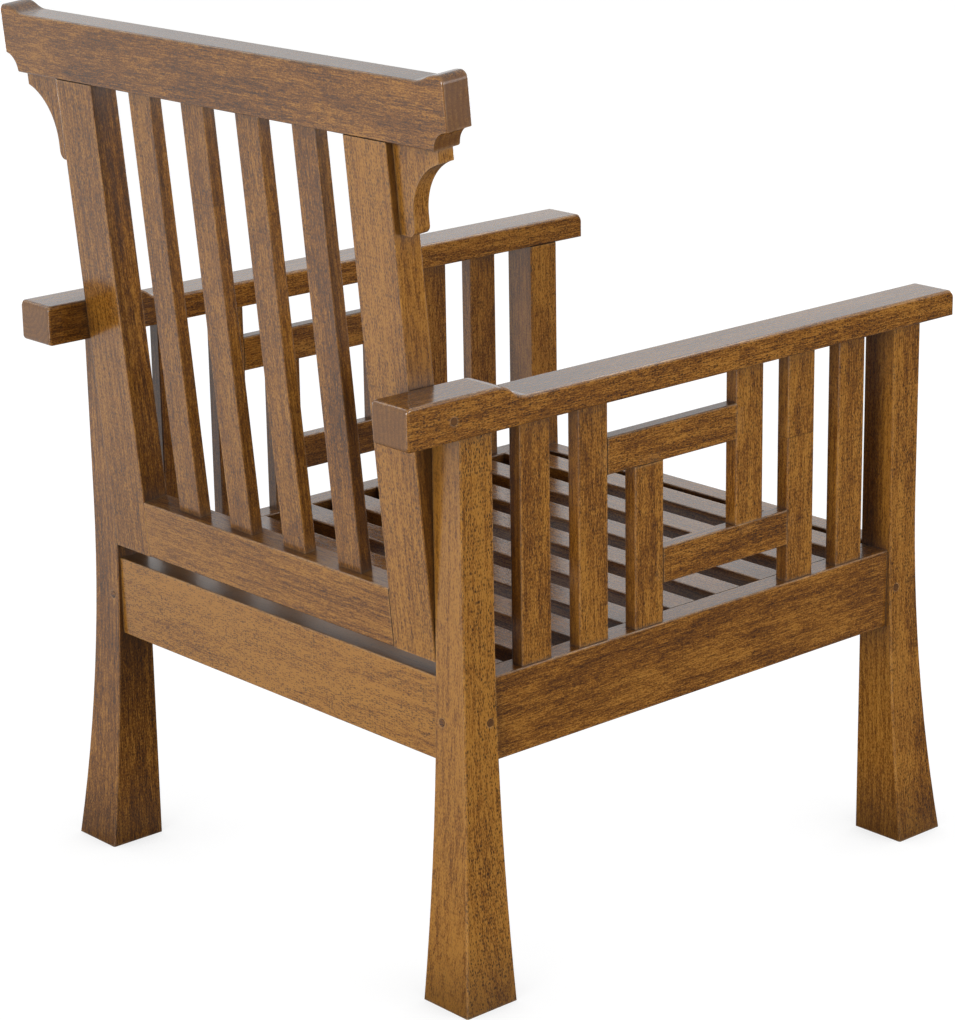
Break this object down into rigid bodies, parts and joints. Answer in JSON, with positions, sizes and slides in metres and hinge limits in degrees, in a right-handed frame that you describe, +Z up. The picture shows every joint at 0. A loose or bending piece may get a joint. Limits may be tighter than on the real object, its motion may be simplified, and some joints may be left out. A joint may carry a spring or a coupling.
{
  "type": "outdoor armchair",
  "caption": "Slatted hardwood lounge armchair with flared square legs, flat stepped arms, pinwheel side panels and a leaning slatted back under an eared crest rail.",
  "frame": {"origin": "on the floor, under the middle of the overall box", "axes": "+Z up, -Y the way the sitter faces, +X the sitter's left"},
  "size_m": [0.713, 0.782, 0.9493],
  "materials": {
    "frame_wood": "semi-gloss lacquer",
    "peg_wood": "semi-gloss lacquer",
    "steel": "plain"
  },
  "bodies": {
    "root": {"apron_pegs": "peg_wood", "arm_left": "frame_wood", "arm_plugs": "peg_wood", "arm_right": "frame_wood", "arm_screws": "steel", "back_bottom_rail": "frame_wood", "back_dowels": "peg_wood", "back_slat_1": "frame_wood", "back_slat_2": "frame_wood", "back_slat_3": "frame_wood", "back_slat_4": "frame_wood", "back_stile_left": "frame_wood", "back_stile_right": "frame_wood", "cleat_screws": "steel", "corbel_dowels": "peg_wood", "corbel_left": "frame_wood", "corbel_right": "frame_wood", "crest_rail": "frame_wood", "front_apron": "frame_wood", "front_leg_left": "frame_wood", "front_leg_right": "frame_wood", "left_panel_lattice_rail_lower": "frame_wood", "left_panel_lattice_rail_upper": "frame_wood", "left_panel_short_slat_lower": "frame_wood", "left_panel_short_slat_upper": "frame_wood", "left_panel_slat_1": "frame_wood", "left_panel_slat_2": "frame_wood", "left_panel_slat_3": "frame_wood", "left_panel_slat_4": "frame_wood", "rear_apron": "frame_wood", "rear_leg_left": "frame_wood", "rear_leg_right": "frame_wood", "right_panel_lattice_rail_lower": "frame_wood", "right_panel_lattice_rail_upper": "frame_wood", "right_panel_short_slat_lower": "frame_wood", "right_panel_short_slat_upper": "frame_wood", "right_panel_slat_1": "frame_wood", "right_panel_slat_2": "frame_wood", "right_panel_slat_3": "frame_wood", "right_panel_slat_4": "frame_wood", "seat_cleat_left": "frame_wood", "seat_cleat_right": "frame_wood", "seat_slat_1": "frame_wood", "seat_slat_2": "frame_wood", "seat_slat_3": "frame_wood", "seat_slat_4": "frame_wood", "seat_slat_5": "frame_wood", "seat_slat_6": "frame_wood", "seat_slat_7": "frame_wood", "seat_slat_8": "frame_wood", "seat_slat_9": "frame_wood", "side_apron_left": "frame_wood", "side_apron_right": "frame_wood", "slat_screws": "steel"}
  },
  "joints": []
}
